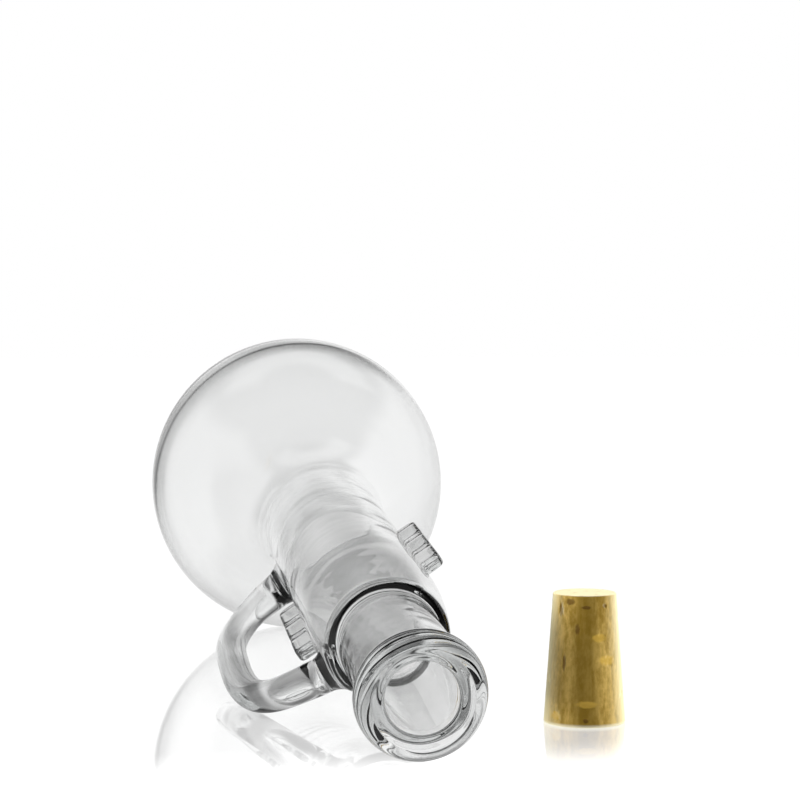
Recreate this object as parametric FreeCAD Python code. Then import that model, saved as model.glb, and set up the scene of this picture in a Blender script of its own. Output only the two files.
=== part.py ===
import FreeCAD, Part
import math
import os

os.makedirs("parts", exist_ok=True)

V = FreeCAD.Vector

# Round bottom flask lying on its side, with its cork standing beside it.
# Units are millimetres, +Z is up and the floor is Z = 0.
# Stations along the flask are distances from the widest ring of the lip,
# counted toward the bulb.  The flask is modelled with its axis along +Y and
# its handle toward -X, and is laid down on the floor at the end.

# ---- bulb
bulb_radius = 51.0
bulb_centre = 252.8
wall = 2.0
base_wall = 3.6
shoulder_fillet = 45.0

# ---- neck and collar
neck_radius = 18.9
collar_start = 44.0
collar_end = 64.0
step_start = 47.4
step_round = 3.0
step_radius = 17.0
swell_mid_station = 60.0
swell_mid_radius = 18.15
neck_cylinder_start = 78.0
bore_round = 1.5

# ---- throat and lip
throat_radius = 14.0
bore_radius = 9.25
lip_back = 5.6
lip_radius = 16.8

# ---- handle: centre line as (station, distance from the flask axis, rod radius)
handle_line = [
    (53.6, 15.4, 6.0),
    (57.0, 21.6, 5.8),
    (60.8, 27.6, 5.2),
    (65.2, 33.4, 4.7),
    (72.6, 38.3, 4.5),
    (85.0, 41.5, 4.5),
    (100.0, 42.7, 4.5),
    (115.0, 42.7, 4.5),
    (129.6, 41.7, 4.5),
    (139.4, 38.0, 4.4),
    (145.8, 32.8, 4.4),
    (149.6, 27.4, 5.0),
    (151.6, 21.6, 6.2),
    (152.2, 15.4, 6.8),
]
tail_start = 150.0
tail_tip = 188.0
tail_root_radius = 5.6
tail_tip_radius = 0.8
tail_root_offset = 18.4
tail_tip_offset = 18.6

# ---- grip ribs: a thin base strip under three blocks
rib_start = 81.5
rib_pitch = 14.0
rib_blocks = 3
rib_groove = 0.8
rib_width = 4.0
rib_base_height = 1.1
rib_height = 5.5
rib_corner = 0.9
rib_foot = 2.0
rib_block_overlap = 0.5

# ---- cork
cork_bottom_radius = 11.0
cork_top_radius = 8.5
cork_height = 35.0
cork_edge = 0.4
cork_x = 53.6
cork_y = 49.3

# ---- fitting
ball_front_angle = -25.0
ball_back_angle = 45.0
pitch_guess = 0.1
pitch_rounds = 40
low_roll = 20.0
high_roll = 50.0
roll_rounds = 24
same_height = 1e-6


def closed_wire(edges):
    """Closed wire in the XY plane from a list of edges."""
    return Part.Wire(Part.__sortEdges__(edges))


def line(a, b):
    return Part.makeLine(V(a[0], a[1], 0), V(b[0], b[1], 0))


def arc(a, b, c):
    return Part.Arc(V(a[0], a[1], 0), V(b[0], b[1], 0), V(c[0], c[1], 0)).toShape()


def turned(edges):
    """Solid of revolution about the flask axis (+Y) from a closed profile.

    Profile points are (radius, station)."""
    face = Part.Face(closed_wire(edges))
    return face.revolve(V(0, 0, 0), V(0, 1, 0), 360)


def on_circle(centre, radius, degrees):
    t = math.radians(degrees)
    return (centre[0] + radius * math.cos(t), centre[1] + radius * math.sin(t))


# ---- shoulder arc between the neck cylinder and the ball
fillet_radius_out = neck_radius + shoulder_fillet
fillet_reach = bulb_radius + shoulder_fillet
shoulder_start = bulb_centre - math.sqrt(fillet_reach ** 2 - fillet_radius_out ** 2)
fillet_centre = (fillet_radius_out, shoulder_start)
ball_centre = (0.0, bulb_centre)
tangent_share = bulb_radius / fillet_reach
outer_tangent = (fillet_radius_out * tangent_share,
                 bulb_centre - (bulb_centre - shoulder_start) * tangent_share)
cavity_radius = bulb_radius - wall
cavity_share = cavity_radius / fillet_reach
inner_tangent = (fillet_radius_out * cavity_share,
                 bulb_centre - (bulb_centre - shoulder_start) * cavity_share)
neck_inner = neck_radius - wall
turn_angle = math.degrees(math.atan2(bulb_centre - shoulder_start, fillet_radius_out))
half_turn = 180.0 - 0.5 * turn_angle
outer_mid = on_circle(fillet_centre, shoulder_fillet, half_turn)
inner_mid = on_circle(fillet_centre, shoulder_fillet + wall, half_turn)

# ---- bulb: shoulder, ball and thicker base
ball_side = (bulb_radius, bulb_centre)
ball_front = on_circle(ball_centre, bulb_radius, ball_front_angle)
ball_back = on_circle(ball_centre, bulb_radius, ball_back_angle)
ball_base = (0.0, bulb_centre + bulb_radius)
cavity_side = (cavity_radius, bulb_centre)
cavity_front = on_circle(ball_centre, cavity_radius, ball_front_angle)
cavity_depth = bulb_radius - base_wall
cavity_base = (0.0, bulb_centre + cavity_depth)
cavity_ellipse = Part.Ellipse(V(cavity_radius, bulb_centre, 0),
                              V(0, bulb_centre + cavity_depth, 0),
                              V(0, bulb_centre, 0))
cavity_back = Part.ArcOfEllipse(cavity_ellipse, 0, math.pi / 2).toShape()
bulb = turned([
    arc((neck_radius, shoulder_start), outer_mid, outer_tangent),
    arc(outer_tangent, ball_front, ball_side),
    arc(ball_side, ball_back, ball_base),
    line(ball_base, cavity_base),
    cavity_back,
    arc(cavity_side, cavity_front, inner_tangent),
    arc(inner_tangent, inner_mid, (neck_inner, shoulder_start)),
    line((neck_inner, shoulder_start), (neck_radius, shoulder_start)),
])

# ---- neck: swells from the collar to the cylinder the ribs stand on
def swell_curve(inset):
    """Arc of the swelling part of the neck, set in from its outside."""
    return Part.Arc(V(step_radius - inset, step_start + step_round, 0),
                    V(swell_mid_radius - inset, swell_mid_station, 0),
                    V(neck_radius - inset, neck_cylinder_start, 0)).toShape().Curve


def swell_point(curve, station):
    """(radius, station) on a swell arc."""
    rise = math.sqrt(curve.Radius ** 2 - (station - curve.Center.y) ** 2)
    return (curve.Center.x + rise, station)


outer_swell = swell_curve(0.0)
inner_swell = swell_curve(wall)
collar_edge = swell_point(outer_swell, collar_end)
collar_edge_inside = swell_point(inner_swell, collar_end)
neck_swell_station = 0.5 * (collar_end + neck_cylinder_start)
neck = turned([
    line((neck_inner, shoulder_start), (neck_radius, shoulder_start)),
    line((neck_radius, shoulder_start), (neck_radius, neck_cylinder_start)),
    arc((neck_radius, neck_cylinder_start), swell_point(outer_swell, neck_swell_station), collar_edge),
    line(collar_edge, collar_edge_inside),
    arc(collar_edge_inside, swell_point(inner_swell, neck_swell_station),
        (neck_inner, neck_cylinder_start)),
    line((neck_inner, neck_cylinder_start), (neck_inner, shoulder_start)),
])

# ---- collar: the rounded step where the neck closes down to the throat
step_centre = (step_radius - step_round, step_start + step_round)
step_inside = step_round - wall
step_corner = (throat_radius, step_start)
step_mid = on_circle(step_centre, step_round, -45.0)
step_mid_inside = on_circle(step_centre, step_inside, -45.0)
step_corner_inside = (step_centre[0], step_centre[1] - step_inside)
swell_start = (step_radius, step_centre[1])
swell_start_inside = (step_radius - wall, step_centre[1])
collar_swell_station = 0.5 * (step_centre[1] + collar_end)
bore_corner = (bore_radius + bore_round, step_corner_inside[1])
bore_end = bore_corner[1] - bore_round
bore_round_mid = on_circle((bore_corner[0], bore_end), bore_round, 135.0)
neck_collar = turned([
    line((bore_radius, collar_start), (throat_radius, collar_start)),
    line((throat_radius, collar_start), step_corner),
    arc(step_corner, step_mid, swell_start),
    arc(swell_start, swell_point(outer_swell, collar_swell_station), collar_edge),
    line(collar_edge, collar_edge_inside),
    arc(collar_edge_inside, swell_point(inner_swell, collar_swell_station), swell_start_inside),
    arc(swell_start_inside, step_mid_inside, step_corner_inside),
    line(step_corner_inside, bore_corner),
    arc(bore_corner, bore_round_mid, (bore_radius, bore_end)),
    line((bore_radius, bore_end), (bore_radius, collar_start)),
])

# ---- throat tube
throat_tube = turned([
    line((bore_radius, lip_back), (throat_radius, lip_back)),
    line((throat_radius, lip_back), (throat_radius, collar_start)),
    line((throat_radius, collar_start), (bore_radius, collar_start)),
    line((bore_radius, collar_start), (bore_radius, lip_back)),
])

# ---- lip ring: a full round bead from the bore out to the widest ring
lip_round = 0.5 * (lip_radius - bore_radius)
lip_centre = (lip_radius - lip_round, 0.0)
bead_angle = math.degrees(math.acos((throat_radius - lip_centre[0]) / lip_round))
bead_back = on_circle(lip_centre, lip_round, bead_angle)
bead_back_mid = on_circle(lip_centre, lip_round, 0.5 * bead_angle)
bead_side = (lip_radius, 0.0)
bead_side_mid = on_circle(lip_centre, lip_round, -45.0)
bead_front = on_circle(lip_centre, lip_round, -90.0)
bead_bore_mid = on_circle(lip_centre, lip_round, -135.0)
bead_bore = (bore_radius, 0.0)
lip_ring = turned([
    line((bore_radius, lip_back), (throat_radius, lip_back)),
    line((throat_radius, lip_back), bead_back),
    arc(bead_back, bead_back_mid, bead_side),
    arc(bead_side, bead_side_mid, bead_front),
    arc(bead_front, bead_bore_mid, bead_bore),
    line(bead_bore, (bore_radius, lip_back)),
])

# ---- outside of the glass body as one filled solid, for seating what stands on it
seat = turned([
    line((0, collar_start), (throat_radius, collar_start)),
    line((throat_radius, collar_start), step_corner),
    arc(step_corner, step_mid, swell_start),
    arc(swell_start, (swell_mid_radius, swell_mid_station),
        (neck_radius, neck_cylinder_start)),
    line((neck_radius, neck_cylinder_start), (neck_radius, shoulder_start)),
    arc((neck_radius, shoulder_start), outer_mid, outer_tangent),
    line(outer_tangent, (0, outer_tangent[1])),
    line((0, outer_tangent[1]), (0, collar_start)),
])

# ---- handle: a round rod bent into a D, wider where it is stuck to the glass
path_points = [V(-rho, s, 0) for s, rho, radius in handle_line]
path = Part.BSplineCurve()
path.interpolate(path_points)
path_edge = path.toShape()
sections = []
for point, (s, rho, radius) in zip(path_points, handle_line):
    tangent = path.tangent(path.parameter(point))[0]
    sections.append(Part.Wire(Part.makeCircle(radius, point, tangent)))
rod = Part.makeLoft(sections, True, False)
tail_run = tail_tip - tail_start
tail_drop = tail_tip_offset - tail_root_offset
tail = Part.makeCone(tail_root_radius, tail_tip_radius, tail_run,
                     V(-tail_root_offset, tail_start, 0), V(-tail_drop, tail_run, 0))
loop_handle = rod.fuse(tail).cut(seat).removeSplitter()


def largest(shape):
    """The biggest solid of a shape, dropping slivers left by a cut."""
    solids = sorted(shape.Solids, key=lambda s: s.Volume)
    return solids[-1]


loop_handle = largest(loop_handle)


def grip_rib(side):
    """Rib on the neck; side is -1 inside the handle loop and +1 opposite it."""
    bar = Part.makeBox(rib_foot + rib_base_height, rib_blocks * rib_pitch, rib_width,
                       V(neck_radius - rib_foot, rib_start, -rib_width / 2))
    block_height = rib_height - rib_base_height + rib_block_overlap
    block_bottom = neck_radius + rib_base_height - rib_block_overlap
    for index in range(rib_blocks):
        block = Part.makeBox(block_height, rib_pitch - rib_groove, rib_width,
                             V(block_bottom, rib_start + index * rib_pitch + rib_groove / 2,
                               -rib_width / 2))
        tops = []
        for edge in block.Edges:
            middle = edge.valueAt(0.5 * (edge.FirstParameter + edge.LastParameter))
            if abs(middle.x - (neck_radius + rib_height)) < same_height:
                tops.append(edge)
        block = block.makeFillet(rib_corner, tops)
        bar = bar.fuse(block)
    bar = bar.cut(seat).removeSplitter()
    if side < 0:
        bar.rotate(V(0, 0, 0), V(0, 1, 0), 180)
    return largest(bar)


finger_grip_rib = grip_rib(-1)
thumb_grip_rib = grip_rib(1)

# ---- cork: tapered plug standing on its wide end
cork_stopper = Part.makeCone(cork_bottom_radius, cork_top_radius, cork_height)
rims = [e for e in cork_stopper.Edges if len(e.Vertexes) == 1]
cork_stopper = cork_stopper.makeChamfer(cork_edge, rims)

# ---- lay the flask down: lip and ball touch the floor, then the handle does
flask = {
    "bulb": bulb,
    "neck": neck,
    "neck_collar": neck_collar,
    "throat_tube": throat_tube,
    "lip_ring": lip_ring,
    "loop_handle": loop_handle,
    "finger_grip_rib": finger_grip_rib,
    "thumb_grip_rib": thumb_grip_rib,
}
pitch = pitch_guess
for _ in range(pitch_rounds):
    lip_drop = lip_centre[0] * math.cos(pitch) + lip_round
    pitch = math.asin((bulb_radius - lip_drop) / bulb_centre)
mouth_height = lip_drop


def laid_down(shape, roll_degrees):
    out = shape.copy()
    out.rotate(V(0, 0, 0), V(0, 1, 0), -roll_degrees)
    out.rotate(V(0, 0, 0), V(1, 0, 0), math.degrees(pitch))
    out.translate(V(0, 0, mouth_height))
    return out


def lowest(shape):
    return shape.optimalBoundingBox(False, False).ZMin


for _ in range(roll_rounds):
    roll = 0.5 * (low_roll + high_roll)
    if lowest(laid_down(rod, roll)) > 0:
        low_roll = roll
    else:
        high_roll = roll
roll = low_roll

nodes = {}
for name, shape in flask.items():
    nodes[name] = laid_down(shape, roll)
cork_stopper.translate(V(cork_x, cork_y, 0))
nodes["cork_stopper"] = cork_stopper

# ---- origin: centre of the bounding box in plan, floor at Z = 0
everything = Part.makeCompound(list(nodes.values()))
box = everything.optimalBoundingBox(False, False)
shift = V(-(box.XMin + box.XMax) / 2, -(box.YMin + box.YMax) / 2, -box.ZMin)
for name, shape in nodes.items():
    shape.translate(shift)
    shape.exportStep("parts/" + name + ".step")

print("pitch", round(math.degrees(pitch), 4), "roll", round(roll, 4))
print("mouth centre", shift.x, shift.y, mouth_height + shift.z)
print("size", box.XLength, box.YLength, box.ZLength)
for name, shape in nodes.items():
    print(name, shape.isValid(), len(shape.Solids), round(shape.Volume / 1000.0, 3), "cm3")
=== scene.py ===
import math

import bmesh
import bpy
import numpy as np
from mathutils import Matrix, Vector


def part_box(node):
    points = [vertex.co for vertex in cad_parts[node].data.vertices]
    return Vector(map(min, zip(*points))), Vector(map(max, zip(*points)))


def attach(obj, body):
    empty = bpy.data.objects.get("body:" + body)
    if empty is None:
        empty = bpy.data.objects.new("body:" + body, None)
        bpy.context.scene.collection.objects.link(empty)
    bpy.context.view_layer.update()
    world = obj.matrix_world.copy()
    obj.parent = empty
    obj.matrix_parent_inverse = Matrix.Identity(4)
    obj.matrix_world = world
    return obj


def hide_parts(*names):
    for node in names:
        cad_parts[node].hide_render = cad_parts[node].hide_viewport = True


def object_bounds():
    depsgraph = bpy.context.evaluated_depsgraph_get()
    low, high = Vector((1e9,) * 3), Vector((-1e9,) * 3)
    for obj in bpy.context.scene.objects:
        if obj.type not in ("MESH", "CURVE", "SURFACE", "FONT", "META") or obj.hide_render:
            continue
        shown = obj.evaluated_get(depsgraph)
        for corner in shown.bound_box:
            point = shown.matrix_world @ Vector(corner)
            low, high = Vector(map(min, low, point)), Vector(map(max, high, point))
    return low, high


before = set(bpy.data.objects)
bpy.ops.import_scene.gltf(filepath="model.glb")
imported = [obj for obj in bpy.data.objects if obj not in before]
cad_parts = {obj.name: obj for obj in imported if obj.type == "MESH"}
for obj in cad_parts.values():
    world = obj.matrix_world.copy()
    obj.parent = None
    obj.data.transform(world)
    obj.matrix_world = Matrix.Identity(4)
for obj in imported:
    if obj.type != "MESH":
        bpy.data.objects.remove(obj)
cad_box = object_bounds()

MM = 0.001
WHITE = (1.0, 1.0, 1.0, 1.0)

# ------------------------------------------------------------------ sizes
# Millimetres.  Stations run along the flask's axis from the widest ring of
# the lip toward the bulb, and a pair is (distance from the axis, station).
BULB_RADIUS = 51.0
BULB_CENTRE = 252.8
WALL = 2.0
BASE_WALL = 3.6
SHOULDER_FILLET = 45.0
NECK_RADIUS = 18.9
STEP_START = 47.4
STEP_ROUND = 3.0
STEP_RADIUS = 17.0
SWELL_MID = (18.15, 60.0)
CYLINDER_START = 78.0
THROAT_RADIUS = 14.0
BORE_RADIUS = 9.25
BORE_END = 47.9
BORE_ROUND = 1.5
LIP_RADIUS = 16.8
HANDLE_ROLL = 34.91

# Rounding of the outer corners and of the inner ones.
SOFT_OUTSIDE = 0.55
SOFT_INSIDE = 0.3

# Extra glass inside the collar, and the stations over which it fades out.
COLLAR_EXTRA = 1.4
COLLAR_RUN = (50.4, 95.0)

# Mouth face: the point near the bore that sets its slope, the rounding into
# the bore, and the depth, radius and reach of the uneven hollow round it.
# Only points before DENT_BEFORE and inside DENT_INSIDE are pressed in.
MOUTH_FLARE = (10.6, -3.2)
MOUTH_ROUND = 1.3
MOUTH_DENT = 0.3
DENT_RADIUS = 11.2
DENT_REACH = 1.1
DENT_BEFORE = 1.0
DENT_INSIDE = LIP_RADIUS - 3.0

# Unevenness of the inner wall: ripples along the axis and round it, where
# they start, rise and reach their full size, and the bulb's uneven wall as
# an offset, a wave once round and a wave twice round from its thick side.
RIPPLE_ALONG = 0.012
RIPPLE_ROUND = 0.02
RIPPLE_FROM = 4.0
RIPPLE_RISE = 8.0
RIPPLE_RADIUS = 6.0
BULB_WAVE = (0.7, 0.9, 0.3)
THICK_SIDE = math.radians(90.0)

# Middle line of the handle's rod from the collar to the neck: station,
# distance from the flask's axis, radius of the rod.
HANDLE_LINE = [
    (53.6, 15.4, 5.2), (57.0, 21.6, 5.1), (60.8, 27.6, 4.8), (65.2, 33.4, 4.6),
    (72.6, 38.3, 4.5), (85.0, 41.5, 4.5), (100.0, 42.7, 4.5), (115.0, 42.7, 4.5),
    (129.6, 41.7, 4.5), (139.4, 38.0, 4.4), (145.8, 32.8, 4.4), (149.6, 27.4, 4.9),
    (151.6, 21.6, 5.5), (152.2, 15.4, 5.8),
]
# The two feet: depth of the rod's ends in the neck, length of each foot
# along the rod, and the fillet that each spreads into.
FOOT_DEPTH = 1.3
FOOT_LENGTHS = (8.0, 9.0)
FOOT_FILLETS = (3.0, 3.4)
# Up to the first height the rings follow the neck's curve, from the second they are flat.
BEND_HEIGHTS = (2.5, 11.0)
# Tongue pulled along the neck: its reach, the height it starts at and how suddenly it does.
TAIL_REACH = 36.0
TAIL_HEIGHT = 7.5
TAIL_POWER = 2.4
# How much a ring's points gather on the tail's side, and the shares of the
# rod's length between which they come to do so.
GATHER = 0.72
GATHER_RUN = (0.35, 0.8)

RIB_START = 81.5
RIB_PITCH = 14.0
RIB_BLOCKS = 3
RIB_GROOVE = 0.8
RIB_WIDTH = 4.0
RIB_NARROWING = 0.28
RIB_BASE = 1.1
RIB_HEIGHT = 5.5
RIB_SUNK = 1.5
# Powers of the rounded squares seen from the side and along the axis.
RIB_SIDE_POWER = 9.0
RIB_END_POWER = 7.0

CORK_BOTTOM = 11.0
CORK_TOP = 8.5
CORK_HEIGHT = 35.0
CORK_EDGE = 0.5

# Counts of points and rings in the meshes.
AROUND = 224
HANDLE_AROUND = 72
HANDLE_RINGS = (26, 110, 34)
RIB_AROUND = 28
RIB_RINGS = 61
CORK_AROUND = 288
CORK_ROWS = 150
CORK_CAP_RINGS = 34
CORK_EDGE_RINGS = 6

SHARP_ANGLE = math.radians(38)


# ------------------------------------------------------------------ flask frame
def flask_pose():
    """Matrix from the flask's own frame (axis +Y, handle toward -X) to the row frame."""
    low, high = (np.array(v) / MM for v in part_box("bulb"))
    bead = 0.5 * (LIP_RADIUS - BORE_RADIUS)
    pitch = 0.1
    for _ in range(40):
        drop = (LIP_RADIUS - bead) * math.cos(pitch) + bead
        pitch = math.asin((BULB_RADIUS - drop) / BULB_CENTRE)
    x = 0.5 * (low[0] + high[0])
    y = high[1] - BULB_RADIUS - BULB_CENTRE * math.cos(pitch)
    lay = Matrix.Rotation(pitch, 4, "X") @ Matrix.Rotation(math.radians(-HANDLE_ROLL), 4, "Y")
    return Matrix.Translation((x, y, drop)) @ lay


POSE = flask_pose()
BOX_CENTRE = 0.5 * (np.array(cad_box[0]) + np.array(cad_box[1]))
SHRINK = 0.9995


def to_row(points):
    """Flask frame millimetres to row frame metres, a hair inside the CAD's own box."""
    m = np.array(POSE)
    pts = np.asarray(points, dtype=float)
    placed = (pts @ m[:3, :3].T + m[:3, 3]) * MM
    return BOX_CENTRE + (placed - BOX_CENTRE) * SHRINK


# ------------------------------------------------------------------ mesh helpers
def new_object(name, verts, faces, smooth=True):
    mesh = bpy.data.meshes.new(name)
    mesh.from_pydata([tuple(v) for v in verts], [], faces)
    mesh.validate()
    mesh.update()
    obj = bpy.data.objects.new(name, mesh)
    bpy.context.scene.collection.objects.link(obj)
    if smooth:
        mesh.polygons.foreach_set("use_smooth", [True] * len(mesh.polygons))
    return obj


def smoothstep(x, low, high):
    t = np.clip((x - low) / (high - low), 0.0, 1.0)
    return t * t * (3 - 2 * t)


def arc_points(centre, radius, start, end, count):
    """Points on a circle, the last one left out.  Angles in degrees."""
    turn = np.radians(np.linspace(start, end, count, endpoint=False))
    return np.stack([centre[0] + radius * np.cos(turn), centre[1] + radius * np.sin(turn)], 1)


def run_points(a, b, count):
    t = np.linspace(0.0, 1.0, count, endpoint=False)[:, None]
    return np.array(a) * (1 - t) + np.array(b) * t


def circle_through(a, b, c):
    """Centre and radius of the circle through three points."""
    (ax, ay), (bx, by), (cx, cy) = a, b, c
    d = 2 * (ax * (by - cy) + bx * (cy - ay) + cx * (ay - by))
    a2, b2, c2 = ax * ax + ay * ay, bx * bx + by * by, cx * cx + cy * cy
    ux = (a2 * (by - cy) + b2 * (cy - ay) + c2 * (ay - by)) / d
    uy = (a2 * (cx - bx) + b2 * (ax - cx) + c2 * (bx - ax)) / d
    return (ux, uy), math.hypot(ax - ux, ay - uy)


def arc_through(a, b, c, count):
    centre, radius = circle_through(a, b, c)
    start = math.degrees(math.atan2(a[1] - centre[1], a[0] - centre[0]))
    end = math.degrees(math.atan2(c[1] - centre[1], c[0] - centre[0]))
    while end - start > 180:
        end -= 360
    while end - start < -180:
        end += 360
    return arc_points(centre, radius, start, end, count)


def soften(points, keep, sigma, spacing=0.12):
    """Round the corners of an open polyline near the points in keep."""
    seg = np.linalg.norm(np.diff(points, axis=0), axis=1)
    run = np.concatenate([[0.0], np.cumsum(seg)])
    out = []
    for i, p in enumerate(points):
        near = min(np.linalg.norm(p - np.array(k)) for k in keep)
        if near > 4 * sigma:
            out.append(p)
            continue
        fade = 1.0 - min(1.0, near / (4 * sigma)) ** 2
        width = max(sigma * fade, 1e-3)
        t = run[i] + np.arange(-3 * width, 3 * width + 1e-9, spacing / 2)
        w = np.exp(-0.5 * ((t - run[i]) / width) ** 2)
        q = np.stack([np.interp(t, run, points[:, 0]), np.interp(t, run, points[:, 1])], 1)
        out.append((q * w[:, None]).sum(0) / w.sum())
    return np.array(out)


# ------------------------------------------------------------------ glass body profile
FILLET_OUT = NECK_RADIUS + SHOULDER_FILLET
FILLET_REACH = BULB_RADIUS + SHOULDER_FILLET
SHOULDER = BULB_CENTRE - math.sqrt(FILLET_REACH ** 2 - FILLET_OUT ** 2)
TURN = math.degrees(math.atan2(BULB_CENTRE - SHOULDER, FILLET_OUT))
SWELL_CENTRE, SWELL_RADIUS = circle_through((STEP_RADIUS, STEP_START + STEP_ROUND), SWELL_MID,
                                            (NECK_RADIUS, CYLINDER_START))


def outer_radius(station):
    """Outer radius of the neck at a station between the collar and the shoulder."""
    s = np.asarray(station, dtype=float)
    inside = np.clip(SWELL_RADIUS ** 2 - (s - SWELL_CENTRE[1]) ** 2, 0, None)
    swell = SWELL_CENTRE[0] + np.sqrt(inside)
    return np.where(s < CYLINDER_START, swell, NECK_RADIUS)


def body_profile():
    """(radius, station) from the bore over the lip to the base, and back inside."""
    bead = 0.5 * (LIP_RADIUS - BORE_RADIUS)
    bead_centre = (LIP_RADIUS - bead, 0.0)
    bead_end = math.degrees(math.acos((THROAT_RADIUS - bead_centre[0]) / bead))
    bead_back = (THROAT_RADIUS, bead * math.sin(math.radians(bead_end)))
    step = (THROAT_RADIUS, STEP_START)
    slope = math.degrees(math.atan2(bead + MOUTH_FLARE[1], bead_centre[0] - MOUTH_FLARE[0]))
    face_turn = 90.0 - slope
    mouth_round = (BORE_RADIUS + MOUTH_ROUND, MOUTH_FLARE[1] + MOUTH_ROUND)
    face_start = (mouth_round[0] + MOUTH_ROUND * math.cos(math.radians(180 + face_turn)),
                  mouth_round[1] + MOUTH_ROUND * math.sin(math.radians(180 + face_turn)))
    swell_start = (STEP_RADIUS, STEP_START + STEP_ROUND)
    outer = np.concatenate([
        arc_points(mouth_round, MOUTH_ROUND, 180, 180 + face_turn, 22),
        run_points(face_start, (bead_centre[0], -bead), 16),
        arc_points(bead_centre, bead, 270, 360 + bead_end, 62),
        run_points(bead_back, (THROAT_RADIUS, bead_back[1] + 3.0), 12),
        run_points((THROAT_RADIUS, bead_back[1] + 3.0), (THROAT_RADIUS, STEP_START - 3.0), 16),
        run_points((THROAT_RADIUS, STEP_START - 3.0), step, 14),
        arc_points((STEP_RADIUS - STEP_ROUND, STEP_START + STEP_ROUND), STEP_ROUND, -90, 0, 22),
        arc_through(swell_start, SWELL_MID, (NECK_RADIUS, CYLINDER_START), 22),
        run_points((NECK_RADIUS, CYLINDER_START), (NECK_RADIUS, SHOULDER), 44),
        arc_points((FILLET_OUT, SHOULDER), SHOULDER_FILLET, 180, 180 - TURN, 30),
        arc_points((0.0, BULB_CENTRE), BULB_RADIUS, -TURN, 90, 130),
        [(0.0, BULB_CENTRE + BULB_RADIUS)],
    ])
    outer = soften(outer, [bead_back, step, swell_start], SOFT_OUTSIDE)
    outer[-1, 0] = 0.0
    cavity = BULB_RADIUS - WALL
    depth = BULB_RADIUS - BASE_WALL
    back = np.radians(np.linspace(90, 0, 70, endpoint=False))
    step_inside = STEP_ROUND - WALL
    step_centre = (STEP_RADIUS - STEP_ROUND - COLLAR_EXTRA, STEP_START + STEP_ROUND)
    swell_inside = (STEP_RADIUS - WALL - COLLAR_EXTRA, STEP_START + STEP_ROUND)
    bore_corner = (BORE_RADIUS + BORE_ROUND, BORE_END + BORE_ROUND)
    neck = np.linspace(SHOULDER, STEP_START + STEP_ROUND, 80, endpoint=False)
    thicker = COLLAR_EXTRA * (1 - smoothstep(neck, *COLLAR_RUN))
    inner = np.concatenate([
        np.stack([cavity * np.cos(back), BULB_CENTRE + depth * np.sin(back)], 1),
        arc_points((0.0, BULB_CENTRE), cavity, 0, -TURN, 60),
        arc_points((FILLET_OUT, SHOULDER), SHOULDER_FILLET + WALL, 180 - TURN, 180, 30),
        np.stack([outer_radius(neck) - WALL - thicker, neck], 1),
        arc_points(step_centre, step_inside, 0, -90, 12),
        run_points((step_centre[0], step_centre[1] - step_inside), bore_corner, 12),
        arc_points((bore_corner[0], BORE_END), BORE_ROUND, 90, 180, 14),
        run_points((BORE_RADIUS, BORE_END), (BORE_RADIUS, MOUTH_FLARE[1] + MOUTH_ROUND), 42),
    ])
    inner = soften(inner, [swell_inside, bore_corner], SOFT_INSIDE)
    inner[0, 0] = 0.0
    return outer, inner


def inner_wobble(radius, station, turn):
    """Unevenness of blown glass on the inside, millimetres.  The bulb is thickest on one side."""
    along = np.sin(station * 0.31 + 1.3 * np.sin(turn)) + 0.6 * np.sin(station * 0.83 + 2.0 * turn)
    round_it = np.sin(2 * turn + station * 0.045) + 0.5 * np.sin(3 * turn - station * 0.07)
    share = np.clip(radius / RIPPLE_RADIUS, 0.0, 1.0)
    aside = turn - THICK_SIDE
    bulb_share = smoothstep(station, SHOULDER, BULB_CENTRE) * radius / BULB_RADIUS
    thinned = BULB_WAVE[0] - BULB_WAVE[1] * np.cos(aside) - BULB_WAVE[2] * np.cos(2 * aside)
    return share * (RIPPLE_ALONG * along + RIPPLE_ROUND * round_it) + bulb_share * thinned


def mouth_dent(radius, turn):
    """Uneven hollow of the flame-finished face round the bore, millimetres into the glass."""
    wave = 0.5 * np.sin(2 * turn + 0.6) + 0.35 * np.sin(3 * turn + 2.1) + 0.25 * np.sin(5 * turn + 4.0)
    return MOUTH_DENT * (1.0 + wave) * math.exp(-((radius - DENT_RADIUS) / DENT_REACH) ** 2)


def glass_body():
    """Ball, neck, throat and lip as one closed shell, turned round the axis."""
    outer, inner = body_profile()
    turn = np.linspace(0, 2 * np.pi, AROUND, endpoint=False)
    verts, faces, rings = [], [], []
    for which, line in (("outer", outer), ("inner", inner)):
        for r, s in line:
            if r < 1e-6:
                rings.append([len(verts)])
                verts.append((0.0, s, 0.0))
                continue
            rad = np.full(AROUND, r)
            along = np.full(AROUND, s)
            if which == "outer" and s < DENT_BEFORE and r < DENT_INSIDE:
                along = along + mouth_dent(r, turn)
            if which == "inner" and s > RIPPLE_FROM:
                rad = rad + inner_wobble(r, s, turn) * min(1.0, (s - RIPPLE_FROM) / RIPPLE_RISE)
            rings.append(list(range(len(verts), len(verts) + AROUND)))
            verts.extend(np.stack([rad * np.cos(turn), along, rad * np.sin(turn)], 1))
    count = len(rings)
    for i in range(count):
        a, b = rings[i], rings[(i + 1) % count]
        if len(a) == 1 and len(b) == 1:
            continue
        for k in range(AROUND):
            n = (k + 1) % AROUND
            if len(a) == 1:
                faces.append((a[0], b[n], b[k]))
            elif len(b) == 1:
                faces.append((a[k], a[n], b[0]))
            else:
                faces.append((a[k], a[n], b[n], b[k]))
    return new_object("glass_flask", to_row(verts), faces)


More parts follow.
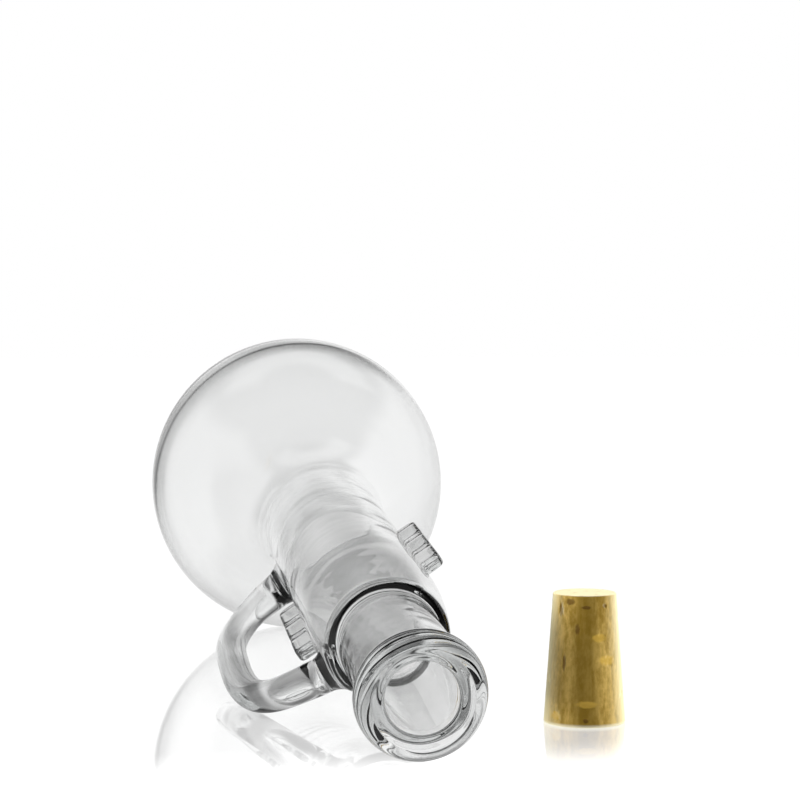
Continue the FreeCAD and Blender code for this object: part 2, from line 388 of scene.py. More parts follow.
# ------------------------------------------------------------------ handle
def spline(values, knots, at):
    """Natural cubic spline through values at knots, read at the given places."""
    n = len(knots)
    h = np.diff(knots)
    a = np.zeros((n, n))
    rhs = np.zeros((n, values.shape[1]))
    a[0, 0] = a[-1, -1] = 1.0
    for i in range(1, n - 1):
        a[i, i - 1], a[i, i], a[i, i + 1] = h[i - 1], 2 * (h[i - 1] + h[i]), h[i]
        rhs[i] = 6 * ((values[i + 1] - values[i]) / h[i] - (values[i] - values[i - 1]) / h[i - 1])
    m = np.linalg.solve(a, rhs)
    i = np.clip(np.searchsorted(knots, at, side="right") - 1, 0, n - 2)
    t = (at - knots[i])[:, None]
    hi = h[i][:, None]
    slope = (values[i + 1] - values[i]) / hi - hi * (2 * m[i] + m[i + 1]) / 6
    return values[i] + slope * t + m[i] * t * t / 2 + (m[i + 1] - m[i]) * t ** 3 / (6 * hi)


def foot_spread(height, fillet):
    """Extra radius of a fillet at a height over the glass it is stuck to."""
    inside = np.clip(fillet - np.clip(height, 0.0, fillet), 0.0, fillet)
    return fillet - np.sqrt(np.clip(fillet ** 2 - inside ** 2, 0.0, None))


def tail(angle, base, height, radius):
    """Distance of the ring's points from its centre, drawn out to a tongue on one side."""
    reach = np.full(HANDLE_AROUND, base)
    share = float(np.clip(1.0 - max(height, 0.0) / TAIL_HEIGHT, 0.0, 1.0)) ** TAIL_POWER
    tip = base + (TAIL_REACH - radius) * share
    if tip > base * 1.0005:
        corner = math.acos(base / tip)
        near = np.abs(angle) < corner
        reach[near] = base / np.cos(corner - np.abs(angle[near]))
    return reach


def handle_ring(point, tangent, share):
    """One ring of the rod, at a share of its length."""
    station, rho, radius = point
    side = np.array([-tangent[1], tangent[0]])
    height = rho - float(outer_radius(station))
    even = np.linspace(-np.pi, np.pi, HANDLE_AROUND, endpoint=False)
    gathered = even - GATHER * np.sin(even)
    angle = even + (gathered - even) * float(smoothstep(share, *GATHER_RUN))
    far = share > 0.5
    base = radius + float(foot_spread(np.array(height), FOOT_FILLETS[1] if far else FOOT_FILLETS[0]))
    reach = tail(angle, base, height, radius) if far else np.full(HANDLE_AROUND, base)
    along = reach * np.cos(angle)
    across = reach * np.sin(angle)
    flat = np.stack([-(rho + along * side[1]), station + along * side[0], across], 1)
    bend = 1.0 - float(smoothstep(height, *BEND_HEIGHTS))
    if bend == 0:
        return flat
    spot = station + along * (side[0] * (1 - bend) + np.sign(side[0]) * bend)
    ground = outer_radius(np.clip(spot, STEP_START + STEP_ROUND, None)) + height
    ground = ground + along * side[1] * (1 - bend)
    swing = across / ground
    bent = np.stack([-ground * np.cos(swing), spot, ground * np.sin(swing)], 1)
    return flat * (1 - bend) + bent * bend


def handle():
    """Rod of rings.  Near the neck the rings follow the neck's curve, so the feet sit on it."""
    line = np.array(HANDLE_LINE)
    knots = np.concatenate([[0], np.cumsum(np.linalg.norm(np.diff(line[:, :2], axis=0), axis=1))])
    whole = knots[-1]
    fine = np.linspace(0, whole, 1200)
    path = spline(line, knots, fine)
    kept = fine[path[:, 1] - outer_radius(path[:, 0]) > -FOOT_DEPTH]
    start, end = kept[0], kept[-1]
    lengths = np.concatenate([
        np.linspace(start, start + FOOT_LENGTHS[0], HANDLE_RINGS[0], endpoint=False),
        np.linspace(start + FOOT_LENGTHS[0], end - FOOT_LENGTHS[1], HANDLE_RINGS[1], endpoint=False),
        np.linspace(end - FOOT_LENGTHS[1], end, HANDLE_RINGS[2]),
    ])
    path = spline(line, knots, lengths)
    ahead = spline(line, knots, np.clip(lengths + 0.05, 0, whole))
    behind = spline(line, knots, np.clip(lengths - 0.05, 0, whole))
    rings = []
    for k, length in enumerate(lengths):
        tangent = ahead[k, :2] - behind[k, :2]
        tangent /= np.linalg.norm(tangent)
        rings.append(handle_ring(path[k], tangent, length / whole))
    final = (len(rings) - 1) * HANDLE_AROUND
    hubs = [(-rho, station, 0.0) for station, rho, _ in (path[0], path[-1])]
    turns = [(j, (j + 1) % HANDLE_AROUND) for j in range(HANDLE_AROUND)]
    faces = []
    for a in range(0, final, HANDLE_AROUND):
        b = a + HANDLE_AROUND
        faces.extend((a + j, b + j, b + n, a + n) for j, n in turns)
    faces.extend((final + HANDLE_AROUND, j, n) for j, n in turns)
    faces.extend((final + HANDLE_AROUND + 1, final + n, final + j) for j, n in turns)
    return new_object("handle_part", to_row(np.concatenate(rings + [hubs])), faces)


# ------------------------------------------------------------------ grip ribs
def rounded(direction, power):
    """Cosine and sine of a direction, swollen toward a square by the power."""
    c, d = np.cos(direction), np.sin(direction)
    return np.sign(c) * np.abs(c) ** (2 / power), np.abs(d) ** (2 / power)


def rib(side, name):
    """Bar of three pillow-topped blocks on a low strip, lofted along the flask's axis."""
    half = 0.5 * (RIB_PITCH - RIB_GROOVE)
    share, lift = rounded(np.radians(np.linspace(180, 0, RIB_RINGS)), RIB_SIDE_POWER)
    cross_x, cross_z = rounded(np.linspace(0, np.pi, RIB_AROUND), RIB_END_POWER)
    verts = []
    for index in range(RIB_BLOCKS):
        middle = RIB_START + (index + 0.5) * RIB_PITCH
        for k in range(RIB_RINGS):
            station = middle + half * share[k] + (index * RIB_RINGS + k) * 1e-5
            height = RIB_BASE + (RIB_HEIGHT - RIB_BASE) * lift[k]
            width = 0.5 * RIB_WIDTH - RIB_NARROWING * (1 - lift[k])
            x = NECK_RADIUS - RIB_SUNK + (height + RIB_SUNK) * cross_z
            verts.append(np.stack([side * x, np.full(RIB_AROUND, station), width * cross_x], 1))
    faces = []
    final = (len(verts) - 1) * RIB_AROUND
    for a in range(0, final, RIB_AROUND):
        b = a + RIB_AROUND
        for j in range(RIB_AROUND):
            n = (j + 1) % RIB_AROUND
            faces.append((a + j, a + n, b + n, b + j))
    faces.append(tuple(range(RIB_AROUND))[::-1])
    faces.append(tuple(range(final, final + RIB_AROUND)))
    if side < 0:
        faces = [face[::-1] for face in faces]
    return new_object(name, to_row(np.concatenate(verts)), faces)


def outward(obj):
    """Make every face of a closed mesh look outward."""
    bm = bmesh.new()
    bm.from_mesh(obj.data)
    bmesh.ops.recalc_face_normals(bm, faces=bm.faces)
    if bm.calc_volume(signed=True) < 0:
        bmesh.ops.reverse_faces(bm, faces=bm.faces)
    bm.to_mesh(obj.data)
    bm.free()


def weld(target, others):
    """Union of closed meshes, so that light meets no glass inside glass."""
    for other in others:
        mod = target.modifiers.new("weld", "BOOLEAN")
        mod.operation = "UNION"
        mod.solver = "MANIFOLD"
        mod.object = other
    graph = bpy.context.evaluated_depsgraph_get()
    joined = bpy.data.meshes.new_from_object(target.evaluated_get(graph))
    target.modifiers.clear()
    old = target.data
    target.data = joined
    joined.name = "glass_flask"
    bpy.data.meshes.remove(old)
    for other in others:
        mesh = other.data
        bpy.data.objects.remove(other)
        bpy.data.meshes.remove(mesh)


flask = glass_body()
stuck_on = [handle(), rib(-1, "finger_rib_part"), rib(1, "thumb_rib_part")]
for item in [flask] + stuck_on:
    outward(item)
weld(flask, stuck_on)
flask.data.polygons.foreach_set("use_smooth", [True] * len(flask.data.polygons))
flask.data.set_sharp_from_angle(angle=SHARP_ANGLE)


# ------------------------------------------------------------------ node helpers
class Tree:
    """Short way to write a node tree."""

    def __init__(self, owner):
        owner.use_nodes = True
        self.tree = owner.node_tree
        self.tree.nodes.clear()

    def node(self, kind, **settings):
        made = self.tree.nodes.new(kind)
        for key, value in settings.items():
            setattr(made, key, value)
        return made

    def link(self, source, target):
        self.tree.links.new(source, target)

    def feed(self, socket, value):
        if isinstance(value, bpy.types.NodeSocket):
            self.link(value, socket)
        else:
            socket.default_value = value

    def math(self, operation, a, b=0.0, c=0.0, clamp=False):
        made = self.node("ShaderNodeMath", operation=operation, use_clamp=clamp)
        self.feed(made.inputs[0], a)
        self.feed(made.inputs[1], b)
        self.feed(made.inputs[2], c)
        return made.outputs[0]

    def step(self, value, low, high, start=0.0, end=1.0):
        made = self.node("ShaderNodeMapRange", interpolation_type="SMOOTHSTEP")
        self.feed(made.inputs["Value"], value)
        made.inputs["From Min"].default_value = low
        made.inputs["From Max"].default_value = high
        made.inputs["To Min"].default_value = start
        made.inputs["To Max"].default_value = end
        return made.outputs["Result"]

    def dot(self, vector, direction):
        made = self.node("ShaderNodeVectorMath", operation="DOT_PRODUCT")
        self.feed(made.inputs[0], vector)
        made.inputs[1].default_value = Vector(direction).normalized()
        return made.outputs["Value"]

    def mix(self, factor, a, b):
        made = self.node("ShaderNodeMix", data_type="RGBA")
        self.feed(made.inputs["Factor"], factor)
        self.feed(made.inputs[6], a)
        self.feed(made.inputs[7], b)
        return made.outputs[2]

    def noise(self, vector, scale, detail=2.0, rough=0.5, distortion=0.0):
        made = self.node("ShaderNodeTexNoise")
        self.feed(made.inputs["Vector"], vector)
        made.inputs["Scale"].default_value = scale
        made.inputs["Detail"].default_value = detail
        made.inputs["Roughness"].default_value = rough
        made.inputs["Distortion"].default_value = distortion
        return made.outputs["Fac"]

    def stretch(self, vector, scale):
        made = self.node("ShaderNodeMapping")
        self.feed(made.inputs["Vector"], vector)
        made.inputs["Scale"].default_value = scale
        return made.outputs["Vector"]


# ------------------------------------------------------------------ glass material
GLASS_COLOUR = (0.985, 0.988, 0.987, 1.0)
GLASS_IOR = 1.5
# What thick glass takes away: its colour, and how much of it per metre.
GLASS_TINT = (0.30, 0.34, 0.33, 1.0)
GLASS_DENSITY = 6.0
# Waves in its skin: scales of the round ones and of the long cords, strength, and depth in metres.
GLASS_WAVE_SCALE = 38.0
GLASS_CORD_SCALE = (90.0, 16.0, 90.0)
GLASS_BUMP = 0.03
GLASS_BUMP_DEPTH = 0.002


def glass_material():
    """Clear blown glass with faint waves in its skin and a little tone in its depth."""
    mat = bpy.data.materials.new("clear_glass")
    t = Tree(mat)
    shader = t.node("ShaderNodeBsdfPrincipled")
    out = t.node("ShaderNodeOutputMaterial")
    coords = t.node("ShaderNodeTexCoord")
    place = coords.outputs["Object"]
    shader.inputs["Base Color"].default_value = GLASS_COLOUR
    shader.inputs["Transmission Weight"].default_value = 1.0
    shader.inputs["Roughness"].default_value = 0.0
    shader.inputs["IOR"].default_value = GLASS_IOR
    slow = t.noise(place, GLASS_WAVE_SCALE, 1.5, 0.4)
    cords = t.noise(t.stretch(place, GLASS_CORD_SCALE), 1.0, 1.0, 0.4, 0.3)
    height = t.math("MULTIPLY_ADD", slow, 0.6, t.math("MULTIPLY", cords, 0.4))
    bump = t.node("ShaderNodeBump")
    bump.inputs["Strength"].default_value = GLASS_BUMP
    bump.inputs["Distance"].default_value = GLASS_BUMP_DEPTH
    t.link(height, bump.inputs["Height"])
    t.link(bump.outputs["Normal"], shader.inputs["Normal"])
    t.link(shader.outputs["BSDF"], out.inputs["Surface"])
    depth = t.node("ShaderNodeVolumeAbsorption")
    depth.inputs["Color"].default_value = GLASS_TINT
    depth.inputs["Density"].default_value = GLASS_DENSITY
    t.link(depth.outputs["Volume"], out.inputs["Volume"])
    return mat


flask.data.materials.clear()
flask.data.materials.append(glass_material())
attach(flask, "flask")
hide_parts("bulb", "neck", "neck_collar", "throat_tube", "lip_ring", "loop_handle",
            "finger_grip_rib", "thumb_grip_rib")


# ------------------------------------------------------------------ cork
# Painted shade: a darker band up the side that faces the camera, between the lit flanks; angle about the
# cork's axis and half width, degrees.
CORK_SHADE_BAND = (258.0, 16.0)
# Pits: angle about the cork's axis in degrees, height, half width, half height and depth in millimetres.
CORK_PITS = [
    (281.4, 23.7, 2.0, 1.2, 0.35), (294.0, 17.7, 2.4, 1.4, 0.35), (294.8, 32.2, 0.7, 0.6, 0.30),
    (257.7, 1.9, 0.7, 0.6, 0.45), (258.7, 31.8, 1.3, 0.5, 0.40), (210.4, 31.0, 0.9, 1.8, 0.40),
    (229.7, 33.2, 1.4, 0.9, 0.40), (210.9, 2.8, 1.6, 1.2, 0.35), (259.7, 6.2, 3.2, 0.9, 0.25),
    (20.0, 12.0, 1.8, 1.0, 0.40), (222.0, 17.0, 0.6, 2.2, 0.20), (244.0, 26.0, 0.7, 1.5, 0.20),
    (75.0, 25.0, 1.2, 1.6, 0.40), (120.0, 8.0, 2.2, 0.9, 0.40), (150.0, 20.0, 1.0, 1.3, 0.40),
    (330.0, 8.0, 1.6, 1.0, 0.40), (345.0, 28.0, 1.4, 0.8, 0.40), (95.0, 30.5, 1.0, 0.8, 0.35),
    (180.0, 12.0, 2.0, 1.2, 0.40), (50.0, 18.5, 0.7, 2.0, 0.35),
]
# Pits in the two end faces: distance from the axis, angle in degrees, half length, half width.
CORK_TOP_PITS = [
    (3.5, 200.0, 1.3, 0.5), (5.4, 290.0, 0.9, 0.5), (2.2, 70.0, 1.1, 0.4), (6.0, 120.0, 1.0, 0.5),
    (4.6, 20.0, 0.8, 0.4),
]
CORK_END_DEPTH = 0.4
# Share of the side pits' depths that is pressed into the shape.
CORK_PIT_SHARE = 0.55
# Depth of the side's grain, and the height over which pits and grain fade out at the edges.
CORK_GRAIN = 0.03
CORK_CLEAN_EDGE = 0.6


def cork_radius(height):
    return CORK_BOTTOM + (CORK_TOP - CORK_BOTTOM) * height / CORK_HEIGHT


def cork_side_pits(angle, height):
    """Depth of the pits at points of the cork's side, millimetres."""
    depth = np.zeros_like(angle)
    radius = cork_radius(height)
    for at, middle, half_width, half_height, deep in CORK_PITS:
        aside = (angle - math.radians(at) + math.pi) % (2 * math.pi) - math.pi
        across = aside * radius / half_width
        up = (height - middle) / half_height
        round_it = np.arctan2(up, across)
        ragged = 1.0 + 0.22 * np.sin(3 * round_it + at) + 0.12 * np.sin(7 * round_it + 2 * at)
        far = np.hypot(across, up) / ragged
        depth = np.maximum(depth, CORK_PIT_SHARE * deep * (1 - smoothstep(far, 0.3, 1.3)))
    return depth


def cork_grain(angle, height):
    """Fine unevenness of the cut side, always inward, millimetres."""
    wave = np.sin(9 * angle + 0.5 * np.sin(height * 0.5)) + 0.7 * np.sin(23 * angle + height * 0.21)
    wave = wave + 0.6 * np.sin(height * 1.7 + 3 * np.sin(2 * angle)) + 0.5 * np.sin(41 * angle - height)
    return CORK_GRAIN * (1 + wave / 2.8)


def cork_end_pits(x, y):
    """Depth of the pits at points of an end face, millimetres."""
    depth = np.zeros_like(x)
    for away, at, half_length, half_width in CORK_TOP_PITS:
        turn = math.radians(at)
        dx, dy = x - away * math.cos(turn), y - away * math.sin(turn)
        along = (dx * math.cos(2 * turn) + dy * math.sin(2 * turn)) / half_length
        aside = (dy * math.cos(2 * turn) - dx * math.sin(2 * turn)) / half_width
        far = np.hypot(along, aside)
        depth = np.maximum(depth, CORK_END_DEPTH * (1 - np.clip((far - 0.4) / 0.8, 0, 1)))
    return depth


def cork_rings():
    """Rings of points from the middle of the wide end up to the middle of the narrow one."""
    turn = np.linspace(0, 2 * np.pi, CORK_AROUND, endpoint=False)
    shares = np.linspace(0.04, 1.0, CORK_CAP_RINGS)
    bends = [math.radians(90.0 / CORK_EDGE_RINGS * k) for k in range(1, CORK_EDGE_RINGS + 1)]

    def ring(radius, height):
        return np.stack([radius * np.cos(turn), radius * np.sin(turn), np.zeros(CORK_AROUND) + height], 1)

    def cap_ring(radius):
        flat = ring(radius, 0.0)
        flat[:, 2] = cork_end_pits(flat[:, 0], flat[:, 1])
        return flat

    rings = [cap_ring(share * (CORK_BOTTOM - CORK_EDGE)) for share in shares]
    for bend in bends:
        z = CORK_EDGE * (1 - math.cos(bend))
        radius = CORK_BOTTOM - CORK_EDGE + CORK_EDGE * math.sin(bend)
        rings.append(ring(radius - (CORK_BOTTOM - CORK_TOP) * z / CORK_HEIGHT, z))
    for z in np.linspace(CORK_EDGE, CORK_HEIGHT - CORK_EDGE, CORK_ROWS)[1:]:
        height = np.full(CORK_AROUND, z)
        clean = min(1.0, (z - CORK_EDGE) / CORK_CLEAN_EDGE, (CORK_HEIGHT - CORK_EDGE - z) / CORK_CLEAN_EDGE)
        worn = cork_side_pits(turn, height) + cork_grain(turn, height)
        rings.append(ring(cork_radius(z) - clean * worn, z))
    for bend in bends:
        rings.append(ring(CORK_TOP - CORK_EDGE + CORK_EDGE * math.cos(bend),
                          CORK_HEIGHT - CORK_EDGE + CORK_EDGE * math.sin(bend)))
    for share in shares[-2::-1]:
        flat = cap_ring(share * (CORK_TOP - CORK_EDGE))
        flat[:, 2] = CORK_HEIGHT - flat[:, 2]
        rings.append(flat)
    return rings


def cork_piece():
    """Tapered plug of rings, the pits pressed into its skin."""
    low, high = (np.array(v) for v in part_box("cork_stopper"))
    x, y = 0.5 * (low[0] + high[0]) / MM, 0.5 * (low[1] + high[1]) / MM
    rings = cork_rings()
    verts = np.concatenate(rings + [[(0.0, 0.0, 0.0)], [(0.0, 0.0, CORK_HEIGHT)]])
    under, over = len(verts) - 2, len(verts) - 1
    faces = []
    final = (len(rings) - 1) * CORK_AROUND
    for k in range(CORK_AROUND):
        n = (k + 1) % CORK_AROUND
        faces.append((under, n, k))
        faces.append((over, final + k, final + n))
        for a in range(0, final, CORK_AROUND):
            b = a + CORK_AROUND
            faces.append((a + k, a + n, b + n, b + k))
    obj = new_object("cork", (verts + np.array([x, y, 0.0])) * MM, faces)
    outward(obj)
    return obj, (x * MM, y * MM)


CORK_LIGHT = (0.72, 0.49, 0.13, 1.0)
CORK_DARK = (0.36, 0.22, 0.03, 1.0)
# Colour of the painted shade band up the side toward the camera.
CORK_SHADE_COLOUR = (0.28, 0.165, 0.008, 1.0)
# Colour of the painted sheen toward the cork's outline.
CORK_RIM_SHEEN = (0.93, 0.84, 0.52, 1.0)
CORK_PIT_YELLOW = (0.78, 0.50, 0.08, 1.0)
CORK_PIT_DARK = (0.15, 0.075, 0.012, 1.0)
# End-face colours; on the top their pallor is partly painted light from above.
CORK_END_LIGHT = (0.95, 0.89, 0.64, 1.0)
CORK_END_DARK = (0.78, 0.66, 0.40, 1.0)
# Pits wider than this, in millimetres each way from the middle, are yellow.
CORK_WIDE_PIT = 1.5
# Scales of the grain, the streaks up the side, the patches and the grain of the end faces.
CORK_GRAIN_SCALE = (900.0, 900.0, 520.0)
CORK_STREAK_SCALE = (420.0, 420.0, 60.0)
CORK_PATCH_SCALE = (110.0, 110.0, 45.0)
CORK_END_SCALE = (500.0, 900.0, 500.0)
CORK_ROUGHNESS = 0.62
CORK_SHINE = 0.15
CORK_BUMP = 0.35
CORK_BUMP_DEPTH = 0.0003
# How much of the narrow end's top and of the wide end's foot, in millimetres, is pale; on the top the
# pallor is partly painted light from above.
CORK_CAP_RUN = (0.35, 0.05)
CORK_FOOT_RUN = (0.3, 1.1)


def cork_painted_shade(t, angle, patch):
    """How much of the painted shade band shows; its edges wander with the patches."""
    middle, half = (math.radians(v) for v in CORK_SHADE_BAND)
    aside = t.math("ABSOLUTE", t.math("SUBTRACT", angle, middle - 2 * math.pi))
    aside = t.math("ADD", aside, t.math("MULTIPLY", t.math("SUBTRACT", patch, 0.5), 0.5))
    return t.step(aside, 0.3 * half, 1.9 * half, 0.62, 0.0)


def cork_pit(t, place, grain, pit):
    """How much of a pit's colour shows at a place; the grain frays its edge."""
    at, middle, half_width, half_height, _ = pit
    turn = math.radians(at)
    radius = cork_radius(middle) * MM
    offset = t.node("ShaderNodeVectorMath", operation="SUBTRACT")
    t.link(place, offset.inputs[0])
    offset.inputs[1].default_value = (radius * math.cos(turn), radius * math.sin(turn), middle * MM)
    near = t.math("MULTIPLY", t.math("SUBTRACT", grain, 0.5), 1.6)
    for direction, reach in (((-math.sin(turn), math.cos(turn), 0.0), half_width),
                             ((0.0, 0.0, 1.0), half_height),
                             ((math.cos(turn), math.sin(turn), 0.0), 3.0)):
        share = t.math("DIVIDE", t.dot(offset.outputs[0], direction), reach * MM)
        near = t.math("ADD", near, t.math("POWER", share, 2.0))
    return t.step(near, 0.35, 1.35, 0.75, 0.0)


def cork_material(axis):
    """Cut cork: honey brown with streaks up the side, dark and yellow pits, a band of painted shade up the
    side toward the camera, a top that is pale partly from painted light from above, and pale at the rims
    from a painted sheen toward the outline.
    """
    mat = bpy.data.materials.new("natural_cork")
    t = Tree(mat)
    shader = t.node("ShaderNodeBsdfPrincipled")
    out = t.node("ShaderNodeOutputMaterial")
    coords = t.node("ShaderNodeTexCoord")
    moved = t.node("ShaderNodeVectorMath", operation="SUBTRACT")
    t.link(coords.outputs["Object"], moved.inputs[0])
    moved.inputs[1].default_value = (axis[0], axis[1], 0.0)
    place = moved.outputs[0]
    split = t.node("ShaderNodeSeparateXYZ")
    t.link(place, split.inputs[0])
    angle = t.math("ARCTAN2", split.outputs["Y"], split.outputs["X"])
    height = split.outputs["Z"]

    grain = t.noise(t.stretch(place, CORK_GRAIN_SCALE), 1.0, 4.0, 0.62)
    streak = t.noise(t.stretch(place, CORK_STREAK_SCALE), 1.0, 4.0, 0.6, 0.4)
    patch = t.noise(t.stretch(place, CORK_PATCH_SCALE), 1.0, 2.0, 0.5)
    tone = t.math("ADD", t.math("MULTIPLY", grain, 0.40), t.math("MULTIPLY", streak, 0.60))
    tone = t.math("ADD", t.math("MULTIPLY", tone, 0.75), t.math("MULTIPLY", patch, 0.25))
    colour = t.mix(t.step(tone, 0.38, 0.61), CORK_DARK, CORK_LIGHT)
    # Painted shade: the side toward the camera is darkened in a band.
    colour = t.mix(cork_painted_shade(t, angle, patch), colour, CORK_SHADE_COLOUR)
    for pit in CORK_PITS:
        paint = CORK_PIT_YELLOW if pit[2] > CORK_WIDE_PIT else CORK_PIT_DARK
        colour = t.mix(cork_pit(t, place, grain, pit), colour, paint)

    # Pale top: end grain plus painted light from above on the narrow end's face.
    cap = t.step(height, (CORK_HEIGHT - CORK_CAP_RUN[0]) * MM, (CORK_HEIGHT - CORK_CAP_RUN[1]) * MM)
    end_grain = t.noise(t.stretch(place, CORK_END_SCALE), 1.0, 4.0, 0.6)
    cap_grain_and_light = t.mix(t.step(end_grain, 0.34, 0.62), CORK_END_DARK, CORK_END_LIGHT)
    colour = t.mix(cap, colour, cap_grain_and_light)
    foot = t.step(height, CORK_FOOT_RUN[0] * MM, CORK_FOOT_RUN[1] * MM, 1.0, 0.0)
    colour = t.mix(t.math("MULTIPLY", foot, 0.8), colour, CORK_END_LIGHT)
    # Painted sheen: the cork turns pale cream toward its outline, where its surface turns away from the
    # view.
    rim_sheen = t.node("ShaderNodeLayerWeight")
    rim_sheen.inputs["Blend"].default_value = 0.5
    colour = t.mix(t.step(rim_sheen.outputs["Facing"], 0.12, 0.85, 0.0, 0.9), colour, CORK_RIM_SHEEN)
    t.link(colour, shader.inputs["Base Color"])

    shader.inputs["Roughness"].default_value = CORK_ROUGHNESS
    shader.inputs["Specular IOR Level"].default_value = CORK_SHINE
    bump = t.node("ShaderNodeBump")
    bump.inputs["Strength"].default_value = CORK_BUMP
    bump.inputs["Distance"].default_value = CORK_BUMP_DEPTH
    t.link(tone, bump.inputs["Height"])
    t.link(bump.outputs["Normal"], shader.inputs["Normal"])
    t.link(shader.outputs["BSDF"], out.inputs["Surface"])
    return mat


cork, cork_axis = cork_piece()
cork.data.materials.append(cork_material(cork_axis))
cork.data.set_sharp_from_angle(angle=SHARP_ANGLE)
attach(cork, "cork")
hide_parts("cork_stopper")


# ------------------------------------------------------------------ floor
# The board is flat white plus gloss; the gloss grows with the slant of the look, times FLOOR_GLOSS.
FLOOR_HALF = 6.0
FLOOR_IOR = 1.6
FLOOR_MATT = 0.08
FLOOR_GLOW = 0.80
FLOOR_GLOSS = 1.35
FLOOR_ROUGHNESS = 0.02
# What the camera sees is lifted everywhere, and more in front, where the reflections fade out.
FLOOR_LIFT = 0.13
FADE_LIFT = 0.9
FADE_RUN = (-0.185, -0.122)
# Stretches of the depth (Y, metres) over which the glow grows behind and drops to a share in front.
FAR_GLOW = 0.12
FAR_RUN = (0.20, 0.70)
FRONT_SHARE = 0.3
FRONT_RUN = (-0.26, -0.16)
# Oval shade under the neck, millimetres: how dark, its middle and its half sizes.
SHADE = 0.8
SHADE_MIDDLE = (-38.0, -30.0)
SHADE_HALF = (80.0, 90.0)


def floor_glow(t, depth, seen):
    """Light of the board: even by the flask, less in front, a little more far behind.

    The shade under the neck is for the glass above it; the camera does not see it.
    """
    place = t.node("ShaderNodeTexCoord").outputs["Object"]
    moved = t.node("ShaderNodeVectorMath", operation="SUBTRACT")
    t.link(place, moved.inputs[0])
    moved.inputs[1].default_value = (SHADE_MIDDLE[0] * MM, SHADE_MIDDLE[1] * MM, 0.0)
    scaled = t.node("ShaderNodeVectorMath", operation="DIVIDE")
    t.link(moved.outputs[0], scaled.inputs[0])
    scaled.inputs[1].default_value = (SHADE_HALF[0] * MM, SHADE_HALF[1] * MM, 1.0)
    away = t.node("ShaderNodeVectorMath", operation="LENGTH")
    t.link(scaled.outputs[0], away.inputs[0])
    shaded = t.step(away.outputs["Value"], 0.2, 1.0, FLOOR_GLOW * (1 - SHADE), FLOOR_GLOW)
    shaded = t.math("MAXIMUM", shaded, t.math("MULTIPLY", seen, FLOOR_GLOW))
    far = t.step(depth, *FAR_RUN, 0.0, FAR_GLOW)
    return t.math("MULTIPLY", t.math("ADD", shaded, far), t.step(depth, *FRONT_RUN, FRONT_SHARE, 1.0))


def floor_piece():
    """Glossy white board.  Its gloss takes over from its white toward the horizon."""
    verts = [(x * FLOOR_HALF, y * FLOOR_HALF, 0.0) for x, y in ((-1, -1), (1, -1), (1, 1), (-1, 1))]
    obj = new_object("studio_floor", verts, [(0, 1, 2, 3)], smooth=False)
    mat = bpy.data.materials.new("white_gloss_floor")
    t = Tree(mat)
    split = t.node("ShaderNodeSeparateXYZ")
    t.link(t.node("ShaderNodeTexCoord").outputs["Object"], split.inputs[0])
    depth = split.outputs["Y"]
    fresnel = t.node("ShaderNodeFresnel")
    fresnel.inputs["IOR"].default_value = FLOOR_IOR
    matt = t.node("ShaderNodeBsdfDiffuse")
    matt.inputs["Color"].default_value = (FLOOR_MATT, FLOOR_MATT, FLOOR_MATT, 1.0)
    glow = t.node("ShaderNodeEmission")
    seen = t.node("ShaderNodeLightPath").outputs["Is Camera Ray"]
    t.link(floor_glow(t, depth, seen), glow.inputs["Strength"])
    white = t.node("ShaderNodeAddShader")
    t.link(matt.outputs[0], white.inputs[0])
    t.link(glow.outputs[0], white.inputs[1])
    gloss = t.node("ShaderNodeBsdfGlossy")
    gloss.inputs["Color"].default_value = WHITE
    gloss.inputs["Roughness"].default_value = FLOOR_ROUGHNESS
    mix = t.node("ShaderNodeMixShader")
    t.link(t.math("MULTIPLY", fresnel.outputs[0], FLOOR_GLOSS, clamp=True), mix.inputs[0])
    t.link(white.outputs[0], mix.inputs[1])
    t.link(gloss.outputs[0], mix.inputs[2])
    front = t.step(depth, *FADE_RUN, FADE_LIFT, 0.0)
    lift = t.node("ShaderNodeEmission")
    t.link(t.math("MULTIPLY", seen, t.math("ADD", front, FLOOR_LIFT)), lift.inputs["Strength"])
    both = t.node("ShaderNodeAddShader")
    t.link(mix.outputs[0], both.inputs[0])
    t.link(lift.outputs[0], both.inputs[1])
    out = t.node("ShaderNodeOutputMaterial")
    t.link(both.outputs[0], out.inputs["Surface"])
    obj.data.materials.append(mat)
    return obj


floor_piece()


# ------------------------------------------------------------------ light
# Each panel: azimuth from and to (degrees right of +Y), elevation from and to, brightness, soft edge.
PANELS = [
    (-12.0, 36.0, -12.0, 20.0, 0.86, 7.0),
    (36.0, 108.0, -12.0, 40.0, 1.00, 8.0),
    (-150.0, -48.0, -12.0, 38.0, 0.72, 8.0),
    (-48.0, -12.0, -12.0, 20.0, 0.15, 7.0),
    (-60.0, 70.0, 46.0, 66.0, 0.55, 6.0),
    (140.0, 200.0, 0.0, 45.0, 0.30, 8.0),
    (-200.0, -162.0, 0.0, 45.0, 0.30, 8.0),
]
ROOM = 0.05


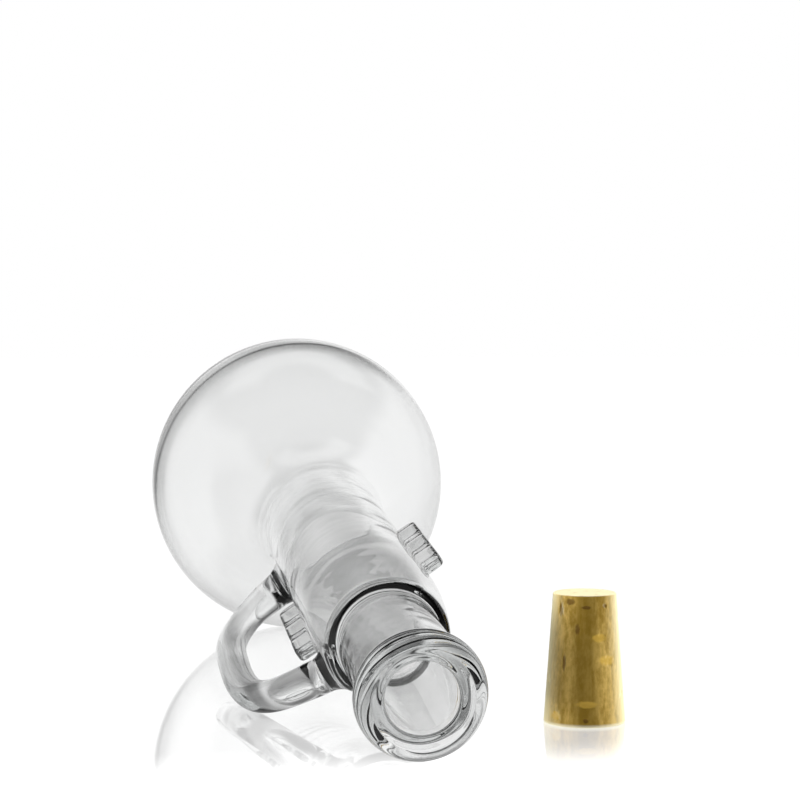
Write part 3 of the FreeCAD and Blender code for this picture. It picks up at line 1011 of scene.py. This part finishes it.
def studio_world():
    """White panels round a dim room, and a plain white backdrop to the camera."""
    world = bpy.data.worlds.new("studio")
    bpy.context.scene.world = world
    t = Tree(world)
    coords = t.node("ShaderNodeTexCoord")
    split = t.node("ShaderNodeSeparateXYZ")
    t.link(coords.outputs["Generated"], split.inputs[0])
    azimuth = t.math("ARCTAN2", split.outputs["X"], split.outputs["Y"])
    elevation = t.math("ARCSINE", split.outputs["Z"])
    level = ROOM
    for left, right, low, high, power, edge in PANELS:
        spans = []
        for angle, start, end in ((azimuth, left, right), (elevation, low, high)):
            rise = t.step(angle, math.radians(start - edge), math.radians(start + edge))
            fall = t.step(angle, math.radians(end - edge), math.radians(end + edge), 1.0, 0.0)
            spans.append(t.math("MULTIPLY", rise, fall))
        panel = t.math("MULTIPLY", t.math("MULTIPLY", spans[0], spans[1]), power)
        level = t.math("ADD", level, panel)
    paths = t.node("ShaderNodeLightPath")
    seen = t.node("ShaderNodeBackground")
    lit = t.node("ShaderNodeBackground")
    seen.inputs["Color"].default_value = WHITE
    seen.inputs["Strength"].default_value = 1.0
    lit.inputs["Color"].default_value = WHITE
    t.link(level, lit.inputs["Strength"])
    mix = t.node("ShaderNodeMixShader")
    t.link(paths.outputs["Is Camera Ray"], mix.inputs[0])
    t.link(lit.outputs[0], mix.inputs[1])
    t.link(seen.outputs[0], mix.inputs[2])
    out = t.node("ShaderNodeOutputWorld")
    t.link(mix.outputs[0], out.inputs["Surface"])


studio_world()


# Each lamp: name, side (X), back (Y) and height (Z) from the cork's middle in LAMP_REACH, watts.
LAMPS = [
    ("left_box", -1.0, 0.06, 0.10, 5.2),
    ("right_box", 1.0, -0.06, 0.10, 4.2),
    ("top_box", 0.0, 0.25, 1.0, 2.7),
]
LAMP_REACH = 0.6
LAMP_SIZE = 0.35


def soft_box(name, place, aim, power):
    """Area lamp that lights matt surfaces only; glass and gloss see the panels."""
    data = bpy.data.lights.new(name, "AREA")
    data.shape = "DISK"
    data.size = LAMP_SIZE
    data.energy = power
    lamp = bpy.data.objects.new(name, data)
    bpy.context.scene.collection.objects.link(lamp)
    lamp.location = place
    lamp.rotation_euler = (aim - place).to_track_quat("-Z", "Y").to_euler()
    lamp.visible_camera = False
    lamp.visible_glossy = False
    lamp.visible_transmission = False


cork_middle = Vector((cork_axis[0], cork_axis[1], 0.5 * CORK_HEIGHT * MM))
for name, side, back, height, power in LAMPS:
    soft_box(name, cork_middle + LAMP_REACH * Vector((side, back, height)), cork_middle, power)


# ------------------------------------------------------------------ camera
# Millimetres from the middle of the lip's widest ring (X, Y) and over the floor, then degrees.
CAMERA_FROM_MOUTH = (-94.43, -531.59)
CAMERA_HEIGHT = 107.23
CAMERA_YAW = -9.538
CAMERA_DOWN = 1.965
SENSOR = 36.0
LENS = 100.15
camera_data = bpy.data.cameras.new("camera")
camera = bpy.data.objects.new("camera", camera_data)
bpy.context.scene.collection.objects.link(camera)
camera_data.sensor_width = SENSOR
camera_data.lens = LENS
camera_data.clip_start = 0.01
camera_data.clip_end = 50.0
mouth = POSE.translation
camera.location = ((mouth.x + CAMERA_FROM_MOUTH[0]) * MM, (mouth.y + CAMERA_FROM_MOUTH[1]) * MM,
                   CAMERA_HEIGHT * MM)
camera.rotation_euler = (math.radians(90 - CAMERA_DOWN), 0.0, math.radians(CAMERA_YAW))
scene = bpy.context.scene
scene.camera = camera
scene.view_settings.view_transform = "Standard"
scene.cycles.max_bounces = 24
scene.cycles.transmission_bounces = 24
scene.cycles.glossy_bounces = 8
